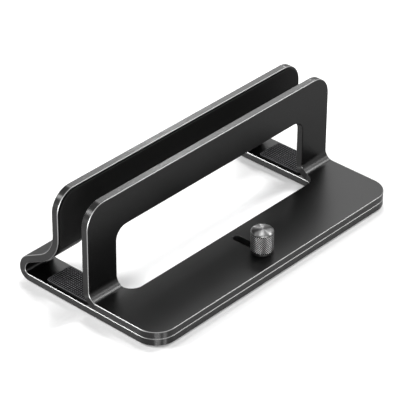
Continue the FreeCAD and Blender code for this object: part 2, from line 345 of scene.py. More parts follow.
def knurl_tree():
    """Diamond knurl: rows of four-sided teeth with flattened tips round a cylinder, every other row
    shifted by half a tooth."""
    labels = {"Int": ("Around", "Rows"), "Float": ("Pitch", "Root radius", "Depth"),
              "Vector": ("Centre",), "Material": ("Turned finish", "Knurled finish")}

    def points_of(tree, given):
        index = add(tree, "GeometryNodeInputIndex")
        row = reckon(tree, "FLOOR", reckon(tree, "DIVIDE", index, given["Around"]))
        column = reckon(tree, "MODULO", index, given["Around"])
        shift = reckon(tree, "MULTIPLY", reckon(tree, "MODULO", row, 2.0), 0.5)
        share = reckon(tree, "DIVIDE", reckon(tree, "ADD", column, shift), given["Around"])
        angle = reckon(tree, "MULTIPLY", share, math.tau)
        place = add(tree, "ShaderNodeVectorRotate",
                    {"Vector": vector(tree, X=given["Root radius"]), "Angle": angle},
                    rotation_type="Z_AXIS")
        height = reckon(tree, "MULTIPLY", reckon(tree, "MULTIPLY", row, given["Pitch"]), 0.5)
        for step in (vector(tree, Z=height), given["Centre"]):
            place = add(tree, "ShaderNodeVectorMath", {0: place, 1: step}, operation="ADD")
        count = reckon(tree, "MULTIPLY", given["Around"], given["Rows"])
        points = add(tree, "GeometryNodePoints", {"Count": count, "Position": place})
        return points, vector(tree, Z=angle)

    def tooth_of(tree, given):
        tooth = add(tree, "GeometryNodeMeshCone",
                    {"Vertices": 4, "Radius Top": FLAT_TIP, "Radius Bottom": 1.0,
                     "Depth": given["Depth"]}, out="Mesh")
        half_row = reckon(tree, "MULTIPLY", given["Pitch"], 0.5)
        half_round = reckon(tree, "DIVIDE", reckon(tree, "MULTIPLY", given["Root radius"], math.pi),
                            given["Around"])
        return add(tree, "GeometryNodeTransform",
                   {"Geometry": tooth, "Rotation": (0.0, QUARTER, 0.0),
                    "Scale": vector(tree, X=half_row, Y=half_round, Z=1.0)})

    return tooth_tree("knurl", labels, points_of, tooth_of)


def stud_tree():
    """Rows of small square studs, tapered to a flat top, on a grid that stands on a pad."""
    labels = {"Int": ("Across", "Along"), "Float": ("Pitch", "Foot", "Top", "Height"),
              "Vector": ("Centre",), "Material": ("Rubber",)}

    def points_of(tree, given):
        spans = {}
        for axis, count in (("X", "Across"), ("Y", "Along")):
            spans["Size " + axis] = reckon(tree, "MULTIPLY", given["Pitch"],
                                           reckon(tree, "SUBTRACT", given[count], 1.0))
            spans["Vertices " + axis] = given[count]
        grid = add(tree, "GeometryNodeMeshGrid", spans, out="Mesh")
        grid = add(tree, "GeometryNodeTransform", {"Geometry": grid, "Translation": given["Centre"]})
        return grid, (0.0, 0.0, math.pi / 4)

    def tooth_of(tree, given):
        foot, top = (reckon(tree, "MULTIPLY", given[width], math.sqrt(0.5)) for width in ("Foot", "Top"))
        return add(tree, "GeometryNodeMeshCone",
                   {"Vertices": 4, "Radius Top": top, "Radius Bottom": foot, "Depth": given["Height"]},
                   out="Mesh")

    return tooth_tree("pad_studs", labels, points_of, tooth_of)


def thread_tree():
    """Thread: a three-sided ridge that winds up the stud."""
    tree, given = new_tree("thread", {"Float": ("Turns", "Pitch", "Root radius", "Depth"),
                                      "Vector": ("Foot",), "Material": ("Steel",)})
    height = reckon(tree, "MULTIPLY", given["Turns"], given["Pitch"])
    helix = add(tree, "GeometryNodeCurveSpiral",
                {"Resolution": THREAD_STEPS, "Rotations": given["Turns"], "Height": height,
                 "Start Radius": given["Root radius"], "End Radius": given["Root radius"]})
    helix = add(tree, "GeometryNodeSetCurveNormal", {"Curve": helix}, mode="Z_UP")
    ridge = add(tree, "GeometryNodeCurvePrimitiveCircle", {"Resolution": 3, "Radius": 1.0}, out="Curve")
    scale = vector(tree, X=given["Depth"], Y=reckon(tree, "DIVIDE", given["Pitch"], 2.0), Z=1.0)
    ridge = add(tree, "GeometryNodeTransform", {"Geometry": ridge, "Scale": scale})
    wound = add(tree, "GeometryNodeCurveToMesh",
                {"Curve": helix, "Profile Curve": ridge, "Fill Caps": True})
    wound = add(tree, "GeometryNodeTransform", {"Geometry": wound, "Translation": given["Foot"]})
    join_and_give_back(tree, given, wound, ["Steel"])
    return tree


# Meshes

def rounded_loop(corners, cuts=()):
    """Points round a closed outline, each with its outward direction. A corner is (x, y, radius), the
    material lies to the left of the way round, and each cut is a place along Y that gets a point."""
    places = [Vector(corner[:2]) for corner in corners]
    points = []
    for i, corner in enumerate(corners):
        here, radius = places[i], corner[2]
        come = (here - places[i - 1]).normalized()
        leave = (places[(i + 1) % len(places)] - here).normalized()
        bend = math.atan2(come.x * leave.y - come.y * leave.x, come.dot(leave))
        side = Vector((-come.y, come.x)) * math.copysign(radius, bend)
        centre = here - come * radius * math.tan(abs(bend) / 2) + side
        steps = max(CORNER_STEPS_LEAST, math.ceil(abs(bend) * CORNER_STEPS * math.sqrt(radius / MM)))
        for k in range(steps + 1):
            part = bend * k / steps
            along = Vector((come.x * math.cos(part) - come.y * math.sin(part),
                            come.x * math.sin(part) + come.y * math.cos(part)))
            outward = Vector((along.y, -along.x))
            points.append((centre + outward * math.copysign(radius, bend), outward))
    kept = [p for i, p in enumerate(points) if (p[0] - points[i - 1][0]).length > SAME_PLACE]
    divided = []
    for i, (place, outward) in enumerate(kept):
        divided.append((place, outward))
        after, after_outward = kept[(i + 1) % len(kept)]
        step = after.y - place.y
        if abs(step) < SAME_PLACE:
            continue
        shares = [(cut - place.y) / step for cut in cuts]
        margin = SAME_PLACE / abs(step)
        for share in sorted(s for s in shares if margin < s < 1 - margin):
            divided.append((place.lerp(after, share), outward.lerp(after_outward, share).normalized()))
    return divided


def box_corners(low_x, high_x, low_y, high_y, radius, hole=False):
    """Corners of a rectangle for rounded_loop, the other way round for a hole."""
    corners = [(low_x, low_y, radius), (high_x, low_y, radius), (high_x, high_y, radius),
               (low_x, high_y, radius)]
    return corners[::-1] if hole else corners


def chamfered(bottom, top, width):
    """Rings (inset, height) of a rim with both edges chamfered."""
    return [(width, bottom), (0, bottom + width), (0, top - width), (width, top)]


def softened(bottom, top, width, at_bottom=True, at_top=True):
    """Rings (inset, height) of a rim with rounded edges."""
    bends = [(width * (1 - math.sin(a)), width * (1 - math.cos(a)))
             for a in (0, QUARTER / 3, QUARTER / 1.5)]
    low = [(inset, bottom + rise) for inset, rise in bends] if at_bottom else [(0, bottom)]
    high = [(inset, top - rise) for inset, rise in bends[::-1]] if at_top else [(0, top)]
    middle = [(0, bottom + width)] * at_bottom + [(0, top - width)] * at_top
    return low + middle + high


def fill_flat(bm, rings, up):
    """Fill the flat area inside the first ring and outside the others, which are convex holes, facing
    up or down."""
    corners = [vert for ring in rings for vert in ring]
    owner = [number for number, ring in enumerate(rings) for _ in ring]
    sides = []
    for ring in rings:
        first = len(sides)
        sides += [(first + i, first + (i + 1) % len(ring)) for i in range(len(ring))]
    _, _, areas, sources, _, _ = delaunay_2d_cdt([vert.co.xy for vert in corners], sides, [],
                                                 INSIDE_SIDES, TINY)
    for area in areas:
        picked = [sources[i][0] for i in area]
        owners = {owner[i] for i in picked}
        if owners == {0} or len(owners) > 1:
            face = bm.faces.new([corners[i] for i in picked])
            face.normal_update()
            if (face.normal.z > 0) != up:
                face.normal_flip()


def flat_blank(name, outlines, cuts=()):
    """Closed flat sheet between outlines, each a loop, its rings (inset, height) from the bottom up, and
    the finish of its sloped faces. An outline whose rings stop short of the sheet's faces makes a blind
    pocket."""
    bottom = min(rings[0][1] for _, rings, _ in outlines)
    top = max(rings[-1][1] for _, rings, _ in outlines)
    bm = bmesh.new()
    uv = bm.loops.layers.uv.new("UVMap")
    finish = bm.faces.layers.int.new("finish")
    flat_y = bm.verts.layers.float.new("flat_y")
    lowest, highest = [], []
    for loop, rings, sloped in outlines:
        count = len(loop)
        along = [0.0]
        for i in range(count):
            along.append(along[-1] + (loop[(i + 1) % count][0] - loop[i][0]).length)
        made = [[bm.verts.new((*(place - outward * inset), height)) for place, outward in loop]
                for inset, height in rings]
        for (low, low_ring), (high, high_ring) in zip(zip(rings, made), zip(rings[1:], made[1:])):
            for i in range(count):
                j = (i + 1) % count
                face = bm.faces.new((low_ring[i], low_ring[j], high_ring[j], high_ring[i]))
                face[finish] = RIM if abs(low[0] - high[0]) < TINY else sloped
                corners = ((along[i], low[1]), (along[i + 1], low[1]), (along[i + 1], high[1]),
                           (along[i], high[1]))
                for corner, place in zip(face.loops, corners):
                    corner[uv].uv = place
        if rings[0][1] - bottom < TINY:
            lowest.append(made[0])
        else:
            bm.faces.new(made[0])
        if top - rings[-1][1] < TINY:
            highest.append(made[-1])
        else:
            bm.faces.new(made[-1][::-1])
    fill_flat(bm, lowest, False)
    fill_flat(bm, highest, True)
    for cut in cuts:
        broad = [f for f in bm.faces if f[finish] == BROAD]
        parts = set(broad) | {e for f in broad for e in f.edges} | {v for f in broad for v in f.verts}
        bmesh.ops.bisect_plane(bm, geom=list(parts), dist=SAME_PLACE, plane_co=(0, cut, 0),
                               plane_no=(0, 1, 0))
    for face in bm.faces:
        if face[finish] == BROAD:
            for corner in face.loops:
                corner[uv].uv = corner.vert.co.xy
    for vert in bm.verts:
        vert[flat_y] = vert.co.y
    return to_piece(name, bm)


def turned_piece(name, outline, steps, ring=False, knurled=None):
    """Piece from a profile turned about the screw's axis. Its rows are (radius, height) from the bottom
    up; a ring's profile closes on itself, anticlockwise. The band past row number knurled is knurled."""
    bm = bmesh.new()
    finish = bm.faces.layers.int.new("finish")
    angles = [math.tau * k / steps for k in range(steps)]
    rows = [[bm.verts.new((radius * math.cos(a), SCREW_Y + radius * math.sin(a), height))
             for a in (angles[:1] if radius < TINY else angles)] for radius, height in outline]
    bands = list(zip(rows, rows[1:])) + [(rows[-1], rows[0])] * ring
    for number, (low, high) in enumerate(bands):
        for k in range(steps):
            n = (k + 1) % steps
            corners = [row[i % len(row)] for row, i in ((low, k), (low, n), (high, n), (high, k))]
            bm.faces.new(dict.fromkeys(corners))[finish] = KNURLED if number == knurled else TURNED
    return to_piece(name, bm)


def to_piece(name, bm):
    """Object from a mesh in the making, smooth but for its sharp edges."""
    bm.normal_update()
    for face in bm.faces:
        face.smooth = True
    for edge in bm.edges:
        edge.smooth = len(edge.link_faces) != 2 or edge.calc_face_angle() < SHARP
    mesh = bpy.data.meshes.new(name)
    bm.to_mesh(mesh)
    bm.free()
    piece = bpy.data.objects.new(name, mesh)
    bpy.context.scene.collection.objects.link(piece)
    return piece


def settle(piece):
    """Give a piece's faces their own flat shading, then swap its mesh for the finished one."""
    shading = piece.modifiers.new("even_shading", "WEIGHTED_NORMAL")
    shading.keep_sharp = True
    depsgraph = bpy.context.evaluated_depsgraph_get()
    mesh = bpy.data.meshes.new_from_object(piece.evaluated_get(depsgraph),
                                           preserve_all_data_layers=True, depsgraph=depsgraph)
    piece.modifiers.clear()
    rough = piece.data
    piece.data = mesh
    bpy.data.meshes.remove(rough)
    mesh.name = piece.name


def place_piece(piece, body, slot, *nodes):
    """Settle a piece, say what it rides on and hide the solids that it stands for. The finish slot
    that it is given is not used."""
    settle(piece)
    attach(piece, body)
    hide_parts(*nodes)


# Materials

def object_place(tree):
    """The object's own coordinates."""
    return add(tree, "ShaderNodeTexCoord", out="Object")


def screw_place(tree):
    """Object coordinates with the screw's axis at zero."""
    return add(tree, "ShaderNodeMapping",
               {"Vector": object_place(tree), "Location": (0.0, -SCREW_Y, 0.0)})


def edge_place(tree):
    """Places along and across an edge, squeezed across it so that grain turns into lines."""
    edge = add(tree, "ShaderNodeUVMap", uv_map="UVMap")
    return add(tree, "ShaderNodeMapping", {"Vector": edge, "Scale": (1.0, 0.08, 1.0)})


class Finish:
    """A material in the making: the shader's uniform values by their sockets' names, and the places
    that its textures are drawn from."""

    def __init__(self, name, values, place=object_place):
        self.material = bpy.data.materials.new(name)
        self.material.use_nodes = True
        self.tree = self.material.node_tree
        self.shader = self.tree.nodes["Principled BSDF"]
        self.place = place(self.tree)
        for label, value in values.items():
            self.shader.inputs[label].default_value = value

    def set(self, label, value):
        """Link one of the shader's values."""
        self.tree.links.new(value, self.shader.inputs[label])

    def noise(self, millimetres, detail):
        """Noise with one feature in that many millimetres."""
        return add(self.tree, "ShaderNodeTexNoise",
                   {"Vector": self.place, "Scale": 1 / (millimetres * MM), "Detail": detail})

    def wave(self, millimetres, distortion=0.0, **way):
        """Wave with one ring or band in that many millimetres; the texture counts in twentieths."""
        return add(self.tree, "ShaderNodeTexWave",
                   {"Vector": self.place, "Scale": math.tau / (20 * millimetres * MM),
                    "Distortion": distortion}, out="Fac", **way)

    def between(self, value, low, high):
        """How far a value has come from the first of two others to the second, from 0 to 1."""
        return add(self.tree, "ShaderNodeMapRange", {"Value": value, "From Min": low, "From Max": high})

    def shade(self, factor, colour, dark, light):
        """Base colour that wanders between a darker and a lighter share of one colour."""
        self.set("Base Color", add(self.tree, "ShaderNodeMix",
                                   {"Factor": factor, "A": (*[c * dark for c in colour], 1.0),
                                    "B": (*[c * light for c in colour], 1.0)}, data_type="RGBA"))

    def rough(self, factor, low, high):
        """Roughness that wanders between two values."""
        self.set("Roughness", add(self.tree, "ShaderNodeMapRange",
                                  {"Value": factor, "To Min": low, "To Max": high}))

    def bump(self, height, strength, millimetres):
        """Bump from a height between 0 and 1 that stands for that many millimetres."""
        self.set("Normal", add(self.tree, "ShaderNodeBump", {
            "Height": height, "Strength": strength, "Distance": millimetres * MM}))

    def wander(self, texture, colour, shades, roughness, bump=None):
        """Let colour, roughness and bump wander with one texture, and hand out the material."""
        self.shade(texture, colour, *shades)
        self.rough(texture, *roughness)
        if bump:
            self.bump(texture, *bump)
        return self.material

    def comb(self, **way):
        """Direction that an uneven gloss is drawn out from."""
        self.set("Tangent", add(self.tree, "ShaderNodeTangent", **way))


def once(make):
    """Build a finish the first time it is asked for, and hand out the same one after that."""
    kept = []

    def asked(colours):
        if not kept:
            kept.append(make(colours))
        return kept[0]

    return asked


@once
def blasted_anodise(colours):
    """Aluminium, bead-blasted and anodised dark grey: an even satin sheen that blurs what it mirrors,
    with a very fine grain. The real grain is about 0.1 mm and is drawn at 0.4 mm to show."""
    finish = Finish("anodised_aluminium_blasted",
                    {"Metallic": 1.0, "Specular Tint": (0.45, 0.45, 0.45, 1.0)})
    grain = finish.noise(0.4, 3.0)
    finish.shade(grain, colours.plate, 0.86, 1.14)
    finish.rough(finish.noise(24, 2.0), 0.28, 0.34)
    finish.bump(grain, 0.35, 0.02)
    return finish.material


@once
def milled_anodise(colours):
    """Aluminium, milled round the outline and anodised: glossier than the faces, with fine lines that
    the cutter leaves across the edge. Its lines, 0.1 mm apart, are drawn at 0.5 mm to show."""
    finish = Finish("anodised_aluminium_milled",
                    {"Metallic": 1.0, "Anisotropic": 1.0, "Anisotropic Rotation": 0.25}, edge_place)
    finish.comb(direction_type="UV_MAP", uv_map="UVMap")
    return finish.wander(finish.noise(0.5, 2.0), colours.rim, (0.8, 1.2), (0.31, 0.36), (0.4, 0.015))


@once
def cut_chamfer(colours):
    """Aluminium, chamfered with a diamond cutter after anodising: a thin bright line along each edge."""
    finish = Finish("aluminium_cut_chamfer", {"Metallic": 1.0})
    return finish.wander(finish.noise(1.2, 1.0), colours.chamfer, (0.9, 1.1), (0.4, 0.48))


@once
def turned_aluminium(colours):
    """Aluminium, faced on a lathe: fine rings round the centre that draw each lamp out into a ray."""
    finish = Finish("aluminium_turned",
                    {"Metallic": 1.0, "Anisotropic": 1.0, "Anisotropic Rotation": 0.25}, screw_place)
    rings = finish.wave(0.3, wave_type="RINGS", rings_direction="Z")
    finish.shade(rings, colours.knob, 0.9, 1.05)
    finish.rough(finish.noise(0.3, 1.0), 0.28, 0.33)
    finish.bump(rings, 0.25, 0.01)
    finish.comb(direction_type="RADIAL", axis="Z")
    return finish.material


@once
def knurled_aluminium(colours):
    """Aluminium, knurled by a rolling tool: bright flattened tips, and painted shade that darkens the
    colour towards the roots between the teeth. The painted shade starts a quarter of the depth above the
    roots."""
    finish = Finish("aluminium_knurled", {"Metallic": 1.0}, screw_place)
    parts = add(finish.tree, "ShaderNodeSeparateXYZ", {"Vector": finish.place}).node.outputs
    flat = vector(finish.tree, X=parts["X"], Y=parts["Y"])
    reach = add(finish.tree, "ShaderNodeVectorMath", {0: flat}, out="Value", operation="LENGTH")
    # Painted shade: the colour falls to 3.2 % of the tips' colour towards the roots between the teeth
    painted_shade_depth = 0.75 * bpy.context.scene.stand_screw.knurl_depth
    height = finish.between(reach, KNOB_RADIUS - painted_shade_depth, KNOB_RADIUS)
    return finish.wander(height, colours.knurl, (0.032, 1.0), (0.5, 0.34))


@once
def moulded_nylon(colours):
    """Nylon, injection moulded in black: a dull sheen with a faint mottle."""
    finish = Finish("nylon_moulded_black", {"IOR": 1.53, "Specular IOR Level": 0.25})
    return finish.wander(finish.noise(1.5, 2.0), colours.washer, (0.8, 1.2), (0.4, 0.55), (0.2, 0.01))


@once
def rolled_steel(colours):
    """Steel, thread-rolled and zinc plated: pale grey with a soft gloss and faint streaks."""
    finish = Finish("steel_thread_rolled", {"Metallic": 1.0}, screw_place)
    return finish.wander(finish.noise(0.8, 3.0), colours.stud, (0.8, 1.1), (0.28, 0.42))


@once
def ground_steel(colours):
    """Steel, centreless ground: bright, with hair-fine lines round the pin."""
    finish = Finish("steel_ground", {"Metallic": 1.0})
    lines = finish.wave(0.2, 1.0, wave_type="BANDS", bands_direction="Z")
    return finish.wander(lines, colours.pin, (0.92, 1.05), (0.16, 0.24))


def rubber(name, colour, grain_mm, roughness):
    """Matt rubber with a fine skin that lifts a little at grazing view."""
    finish = Finish(name, {"IOR": 1.5, "Sheen Weight": 0.01, "Sheen Roughness": 0.5,
                           "Specular IOR Level": 0.12})
    return finish.wander(finish.noise(grain_mm, 3.0), colour, (0.75, 1.25), roughness, (0.5, 0.03))


@once
def die_cut_silicone(colours):
    """Silicone sheet, die cut: nearly black and matt, so the wall behind the laptop looks deep."""
    return rubber("silicone_sheet_die_cut", colours.lining, 0.5, (0.62, 0.78))


@once
def foot_rubber(colours):
    """Rubber, die cut for the feet: matt, with a coarser skin that grips the desk."""
    return rubber("rubber_die_cut_feet", colours.foot, 0.8, (0.6, 0.8))


@once
def ribbed_rubber(colours):
    """Silicone rubber, moulded with studs: the last 0.2 mm to their tops is worn paler, and painted
    shade turns the grooves between them nearly black."""
    finish = Finish("silicone_rubber_moulded",
                    {"IOR": 1.5, "Roughness": 0.7, "Specular IOR Level": 0.15})
    height = add(finish.tree, "ShaderNodeSeparateXYZ", {"Vector": finish.place}, out="Z")
    # Worn tops and painted shade: below the tops the colour falls to 1.5 % of the tops' colour, shade
    # painted into the grooves
    worn_tops_and_painted_shade = finish.between(height, PAD_HIGH.z - 0.25 * MM, PAD_HIGH.z - 0.05 * MM)
    finish.shade(worn_tops_and_painted_shade, colours.pad, 0.0154, 1.0)
    return finish.material


@once
def pale_paper(colours):
    """Paper sweep, matt and pale: it keeps the stand's shadow and looks white beyond it."""
    finish = Finish("paper_floor_pale", {"Roughness": 0.9, "Specular IOR Level": 0.1,
                                         "Emission Color": (1.0, 1.0, 1.0, 1.0)})
    finish.shade(finish.noise(40, 2.0), colours.floor, 0.995, 1.005)
    finish.set("Emission Strength", reckon(finish.tree, "MULTIPLY", seen_or_mirrored(finish.tree),
                                           bpy.context.scene.stand_studio.floor_glow))
    return finish.material


# Layout of the folded plates

def bend_cuts(bends):
    """Places along Y where a blank is divided for its bends."""
    cuts = []
    for start, radius, angle in bends.values():
        count = math.ceil(abs(angle) / BEND_STEP)
        cuts += [start + radius * abs(angle) * k / count for k in range(count + 1)]
    return cuts


def base_layout(plates):
    """Bends (start, radius, turn) of the base frame along its flat blank, the blank's end and its
    middle height."""
    half = plates.plate / 2
    middle = BASE_LOW.z + half
    rise = plates.shelf_rise
    leftover = QUARTER - rise
    low_radius, high_radius = plates.nose_low_radius - half, plates.nose_high_radius - half
    sweep_radius = plates.sweep_radius + half
    low_start = BASE_HIGH.y - plates.nose_low_radius
    high_start = low_start + low_radius * QUARTER
    shelf_start = high_start + high_radius * leftover
    inward = 1 - math.sin(rise)
    shelf_y = low_start + low_radius - high_radius * inward
    wall_y = FRONT_EDGE + plates.wall_setback + plates.plate + plates.gap + half
    shelf = (shelf_y - wall_y - sweep_radius * inward) / math.cos(rise)
    sweep_start = shelf_start + shelf
    wall_start = sweep_start + sweep_radius * leftover
    sweep_top = (middle + low_radius + high_radius * math.cos(rise) + shelf * math.sin(rise)
                 + sweep_radius * math.cos(rise))
    end = wall_start + BASE_HIGH.z - sweep_top
    bends = {"Nose low": (low_start, low_radius, QUARTER),
             "Nose high": (high_start, high_radius, leftover),
             "Sweep": (sweep_start, sweep_radius, -leftover)}
    return bends, end, middle


def bracket_layout(plates):
    """The front bracket's one bend, the end of its flat blank and its middle height."""
    half = plates.plate / 2
    radius = plates.bend_radius + half
    start = FRONT_EDGE + plates.wall_setback - plates.bend_radius
    end = start + radius * QUARTER + BRACKET_HIGH.z - BRACKET_LOW.z - plates.plate - plates.bend_radius
    return {"Bend": (start, radius, QUARTER)}, end, BRACKET_LOW.z + half


def fold(piece, bends, middle, finishes):
    """Fold a flat blank and finish it."""
    name = "fold_" + "_".join(bends).lower().replace(" ", "_")
    tree = bpy.data.node_groups.get(name) or folding_tree(name, list(bends))
    values = {"Middle height": middle, **dict(zip(PLATE_FINISHES, finishes))}
    for bend, numbers in bends.items():
        values.update({f"{bend} {word}": number for word, number in zip(BEND_WORDS, numbers)})
    run_tree(piece, tree, values)


def folded_plate(name, scene, layout, opening_finish, holes):
    """Plate with its opening and its own holes, each (loop, rings), cut flat and folded."""
    plates, colours = scene.stand_plates, scene.stand_colours
    bends, end, middle = layout
    cuts = bend_cuts(bends)
    rings = chamfered(middle - plates.plate / 2, middle + plates.plate / 2, plates.edge_break)
    outer = box_corners(-HALF_LENGTH, HALF_LENGTH, FRONT_EDGE, end, plates.corner_radius)
    opening = box_corners(plates.bar - HALF_LENGTH, HALF_LENGTH - plates.bar,
                          FRONT_EDGE + plates.front_strip, end - plates.bar, plates.opening_radius,
                          hole=True)
    outlines = [(rounded_loop(outer, cuts), rings, CHAMFER),
                (rounded_loop(opening, cuts), rings, opening_finish)]
    outlines += [(loop, hole_rings, BROAD) for loop, hole_rings in holes]
    piece = flat_blank(name, outlines, cuts)
    fold(piece, bends, middle,
         (blasted_anodise(colours), milled_anodise(colours), cut_chamfer(colours)))
    return piece


def slot_loop(x, half_width, travel=0.0):
    """Outline of a round hole level with the screw, or of a slot that runs back from there."""
    return rounded_loop(box_corners(x - half_width, x + half_width, SCREW_Y - half_width,
                                    SCREW_Y + travel + half_width, half_width, hole=True))


def wall_lining(name, scene, layout, rings, low_y, cuts=()):
    """Wall lining: an arch with rounded feet, cut flat and folded with its wall."""
    plates, silicone = scene.stand_plates, die_cut_silicone(scene.stand_colours)
    bends, end, middle = layout
    inset = plates.lining_inset
    outer_x, inner_x = HALF_LENGTH - inset, HALF_LENGTH - plates.bar + inset
    foot, corner = plates.lining_radius, plates.corner_radius - inset
    under, window = end - plates.bar + inset, plates.opening_radius + inset
    corners = [(inner_x, low_y, foot), (outer_x, low_y, foot), (outer_x, end - inset, corner),
               (-outer_x, end - inset, corner), (-outer_x, low_y, foot), (-inner_x, low_y, foot),
               (-inner_x, under, window), (inner_x, under, window)]
    piece = flat_blank(name, [(rounded_loop(corners, cuts), rings, RIM)],
                       [cut for cut in cuts if cut > low_y])
    fold(piece, bends, middle, (silicone,) * 3)
    return piece


# Pieces

class BuildStep:
    """What the build steps share: each is an operator that builds with the scene's own settings."""

    def execute(self, context):
        self.build(context.scene)
        return {"FINISHED"}


class STAND_OT_base_frame(BuildStep, bpy.types.Operator):
    """Fold the base frame from a flat blank with its opening, the screw's hole and the pins' holes."""

    bl_idname = "stand.base_frame"
    bl_label = "Base Frame"

    def build(self, scene):
        plates = scene.stand_plates
        layout = base_layout(plates)
        bottom, top = BASE_LOW.z, BASE_LOW.z + plates.plate
        holes = [(slot_loop(0, STUD_RADIUS + plates.thread_play),
                  chamfered(bottom, top, plates.slot_break))]
        holes += [(slot_loop(sign * PIN_X, PIN_RADIUS), [(0, PIN_LOW.z), (0, top)])
                  for _, sign in SIDES]
        piece = folded_plate("base_plate", scene, layout, CHAMFER, holes)
        place_piece(piece, "stand", "anodised_plate", "base_frame")


class STAND_OT_front_bracket(BuildStep, bpy.types.Operator):
    """Fold the front bracket from a flat blank with its opening, the slot and the guide grooves."""

    bl_idname = "stand.front_bracket"
    bl_label = "Front Bracket"

    def build(self, scene):
        plates = scene.stand_plates
        layout = bracket_layout(plates)
        bottom, top = BRACKET_LOW.z, BRACKET_LOW.z + plates.plate
        holes = [(slot_loop(0, STUD_RADIUS + plates.screw_play, plates.travel),
                  chamfered(bottom, top, plates.slot_break))]
        holes += [(slot_loop(sign * PIN_X, PIN_RADIUS + plates.screw_play, plates.travel),
                   [(0, bottom), (0, top - plates.groove_roof)]) for _, sign in SIDES]
        piece = folded_plate("bracket_plate", scene, layout, RIM, holes)
        place_piece(piece, "sliding_bracket", "anodised_plate", "front_bracket")


class STAND_OT_wall_linings(BuildStep, bpy.types.Operator):
    """Lay a soft lining on the inner face of each wall."""

    bl_idname = "stand.wall_linings"
    bl_label = "Wall Linings"

    def build(self, scene):
        plates = scene.stand_plates

        layout = base_layout(plates)
        bends, end, middle = layout
        start, radius, angle = bends["Sweep"]
        wall_start = start + radius * abs(angle)
        below = wall_start - end + BASE_HIGH.z - LINING_LOW.z
        low_y = wall_start - radius * math.asin(below / radius)
        low = middle + plates.plate / 2
        rings = softened(low, low + plates.lining, plates.lining_edge, at_bottom=False)
        piece = wall_lining("lining_rear_wall", scene, layout, rings, low_y, bend_cuts(bends))
        place_piece(piece, "stand", "lining", "rear_wall_lining")

        layout = bracket_layout(plates)
        _, end, middle = layout
        high = middle - plates.plate / 2
        low_y = end - BRACKET_HIGH.z + LINING_LOW.z
        rings = softened(high - plates.lining, high, plates.lining_edge, at_top=False)
        piece = wall_lining("lining_front_wall", scene, layout, rings, low_y)
        place_piece(piece, "sliding_bracket", "lining", "front_wall_lining")


class STAND_OT_rest_pads(BuildStep, bpy.types.Operator):
    """Mould the two ribbed pads that the laptop's lower edge stands on."""

    bl_idname = "stand.rest_pads"
    bl_label = "Rest Pads"

    def build(self, scene):
        pads = scene.stand_pads
        rubber_finish = ribbed_rubber(scene.stand_colours)
        tree = stud_tree()
        top = PAD_HIGH.z - pads.rib_height
        sink, slope = 0.1 * pads.rib_height, 0.3 * pads.rib_height
        width, length = PAD_HIGH.x - PAD_LOW.x, PAD_HIGH.y - PAD_LOW.y
        across, along = (int(span / pads.rib_pitch) - 1 for span in (width, length))
        inner = pads.edge + pads.lip
        rings = softened(PAD_LOW.z, PAD_HIGH.z, pads.edge, at_bottom=False)
        rings += [(inner, PAD_HIGH.z), (inner + slope, top)]
        for side, sign in SIDES:
            x = sign * (PAD_HIGH.x + PAD_LOW.x) / 2
            corners = box_corners(x - width / 2, x + width / 2, PAD_LOW.y, PAD_HIGH.y,
                                  pads.corner_radius)
            piece = flat_blank(f"ribbed_pad_{side}", [(rounded_loop(corners), rings, RIM)])
            piece.data.materials.append(rubber_finish)
            run_tree(piece, tree, {
                "Across": across, "Along": along, "Pitch": pads.rib_pitch, "Foot": pads.rib_foot,
                "Top": pads.rib_top, "Height": pads.rib_height + sink,
                "Centre": (x, (PAD_LOW.y + PAD_HIGH.y) / 2, top - sink), "Rubber": rubber_finish})
            place_piece(piece, "stand", "rest_pad", f"{side}_rest_pad")


class STAND_OT_feet(BuildStep, bpy.types.Operator):
    """Cut the four soft feet."""

    bl_idname = "stand.feet"
    bl_label = "Feet"

    def build(self, scene):
        pads, colours = scene.stand_pads, scene.stand_colours
        for end, (low, high) in FOOT_BOXES.items():
            rings = softened(low.z, high.z, pads.edge, at_top=False)
            for side, sign in SIDES:
                corners = box_corners(*sorted((sign * low.x, sign * high.x)), low.y, high.y,
                                      pads.foot_corner)
                piece = flat_blank(f"foot_pad_{end}_{side}", [(rounded_loop(corners), rings, RIM)])
                piece.data.materials.append(foot_rubber(colours))
                place_piece(piece, "stand", "foot", f"foot_{end}_{side}")


class STAND_OT_thumb_knob(BuildStep, bpy.types.Operator):
    """Turn the thumb screw's knob and roll its diamond knurl."""

    bl_idname = "stand.thumb_knob"
    bl_label = "Thumb Knob"

    def build(self, scene):
        screw, colours = scene.stand_screw, scene.stand_colours
        root = KNOB_RADIUS - screw.knurl_depth
        low, high = KNOB_LOW.z, KNOB_HIGH.z
        shoulder = high - screw.rim_height
        knurl_low, knurl_high = low + screw.foot_break, shoulder - screw.neck_height
        outline = [(0, low), (root - screw.foot_break, low), (root, knurl_low), (root, knurl_high)]
        # The neck slopes out from the knurl and turns over just below the band
        outline.append((KNOB_RADIUS - 0.4 * screw.neck_height, shoulder - 0.3 * screw.neck_height))
        for k in range(ROUNDING_STEPS + 1):
            part = QUARTER * k / ROUNDING_STEPS
            inward = screw.rim_inset * (1 - math.cos(part))
            rise = (screw.rim_height - screw.dome) * math.sin(part)
            outline.append((KNOB_RADIUS - inward, shoulder + rise))
        face = KNOB_RADIUS - screw.rim_inset
        for k in range(1, ROUNDING_STEPS):
            left = 1 - k / ROUNDING_STEPS
            outline.append((face * left, high - screw.dome * left ** 2))
        outline.append((0, high))
        piece = turned_piece("knurled_knob", outline, KNOB_STEPS, knurled=2)

        row = screw.knurl_pitch / 2
        rows = int((knurl_high - knurl_low) / row) - 1
        spare = knurl_high - knurl_low - (rows - 1) * row
        run_tree(piece, knurl_tree(), {
            "Around": screw.knurl_around, "Rows": rows, "Pitch": screw.knurl_pitch,
            "Root radius": root - screw.knurl_sink, "Depth": screw.knurl_depth + screw.knurl_sink,
            "Centre": (0, SCREW_Y, knurl_low + spare / 2),
            "Turned finish": turned_aluminium(colours), "Knurled finish": knurled_aluminium(colours)})
        place_piece(piece, "thumb_screw", "knob", "thumb_knob")


